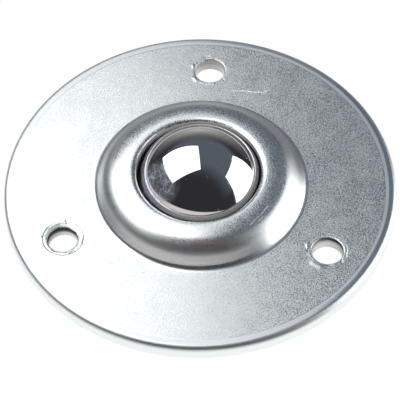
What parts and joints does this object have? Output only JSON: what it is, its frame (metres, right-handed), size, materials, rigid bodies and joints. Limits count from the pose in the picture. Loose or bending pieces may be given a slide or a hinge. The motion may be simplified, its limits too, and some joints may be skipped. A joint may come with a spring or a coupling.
{
  "type": "flange ball transfer unit",
  "caption": "Round pressed-steel flange unit whose low dome holds a polished steel ball, free to turn on small running balls, so loads slide over it in any direction.",
  "frame": {"origin": "centre of the flange's underside, at the middle of the fixing-hole circle", "axes": "+Z along the unit's axis, up out of the deck; +Y towards one fixing hole"},
  "size_m": [0.0762, 0.0762, 0.0309],
  "materials": {
    "zinc_plate": "bright zinc plate with a fine grain, burnished at the edge",
    "zinc_plate_base": "bright zinc plate",
    "hardened_steel": "hardened and ground",
    "ring_steel": "plain pressed steel",
    "felt": "grey-brown felt, lightly oiled",
    "ball_steel": "mirror polished",
    "running_steel": "polished"
  },
  "bodies": {
    "housing": {"flange_cover": "zinc_plate", "base_cup": "zinc_plate_base", "race_cup": "hardened_steel", "retaining_ring": "ring_steel", "felt_seal": "felt"},
    "running_balls": {"running_ball_bottom": "running_steel", "running_balls_row_1": "running_steel", "running_balls_row_2": "running_steel", "running_balls_row_3": "running_steel", "running_balls_row_4": "running_steel", "running_balls_row_5": "running_steel", "running_balls_row_6": "running_steel"},
    "load_ball": {"load_ball": "ball_steel"}
  },
  "joints": [
    {"name": "running_balls_orbit", "type": "hinge", "parent": "housing", "child": "running_balls", "pos_m": [0, 0, 0.00125], "axis": [0, 0, 1], "continuous": true},
    {"name": "load_ball_roll", "type": "hinge", "parent": "running_balls", "child": "load_ball", "pos_m": [0, 0, 0.00125], "axis": [1, 0, 0], "continuous": true}
  ]
}
